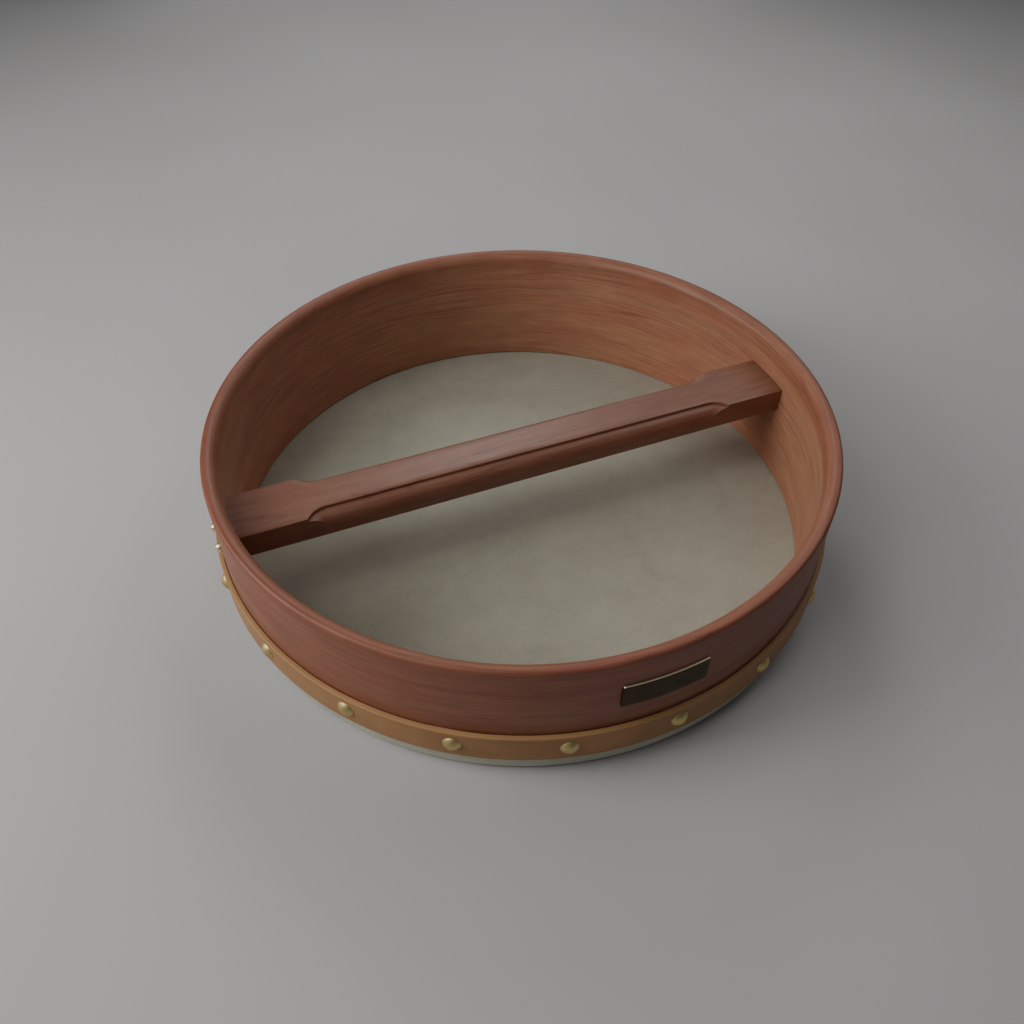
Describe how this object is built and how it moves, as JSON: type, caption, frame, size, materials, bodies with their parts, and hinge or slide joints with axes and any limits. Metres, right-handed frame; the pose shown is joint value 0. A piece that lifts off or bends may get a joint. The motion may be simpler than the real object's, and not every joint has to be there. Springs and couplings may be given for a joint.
{
  "type": "bodhran",
  "caption": "Shallow round frame drum with a goatskin head nailed on under a leather band with domed brass tacks, a wooden crossbar inside and a blank brass plate.",
  "frame": {"origin": "centre of the drum head's outer face, on the drum's axis, at the surface that the drum lies on", "axes": "+Z along the drum's axis from the skin towards the open back, +X along the crossbar, -Y towards the maker's plate"},
  "size_m": [0.4186, 0.4186, 0.0952],
  "materials": {
    "hoop_wood": "satin reddish-brown stain under oil, grain round the hoop",
    "bar_wood": "satin reddish-brown stain under oil, grain along the bar",
    "goatskin": "matt mottled grey-beige natural skin",
    "band_leather": "matt tan vegetable-tanned leather",
    "tack_brass": "aged satin",
    "pin_brass": "satin",
    "plate_brass": "satin, lightly brushed",
    "adhesive": "clear film"
  },
  "bodies": {
    "root": {"hoop": "hoop_wood", "drum_head": "goatskin", "tack_band": "band_leather", "crossbar": "bar_wood", "maker_plate": "plate_brass", "plate_adhesive": "adhesive", "tack_01": "tack_brass", "tack_02": "tack_brass", "tack_03": "tack_brass", "tack_04": "tack_brass", "tack_05": "tack_brass", "tack_06": "tack_brass", "tack_07": "tack_brass", "tack_08": "tack_brass", "tack_09": "tack_brass", "tack_10": "tack_brass", "tack_11": "tack_brass", "tack_12": "tack_brass", "tack_13": "tack_brass", "tack_14": "tack_brass", "tack_15": "tack_brass", "tack_16": "tack_brass", "tack_17": "tack_brass", "tack_18": "tack_brass", "tack_19": "tack_brass", "tack_20": "tack_brass", "crossbar_pin_1": "pin_brass", "crossbar_pin_2": "pin_brass", "crossbar_pin_3": "pin_brass", "crossbar_pin_4": "pin_brass"}
  },
  "joints": []
}
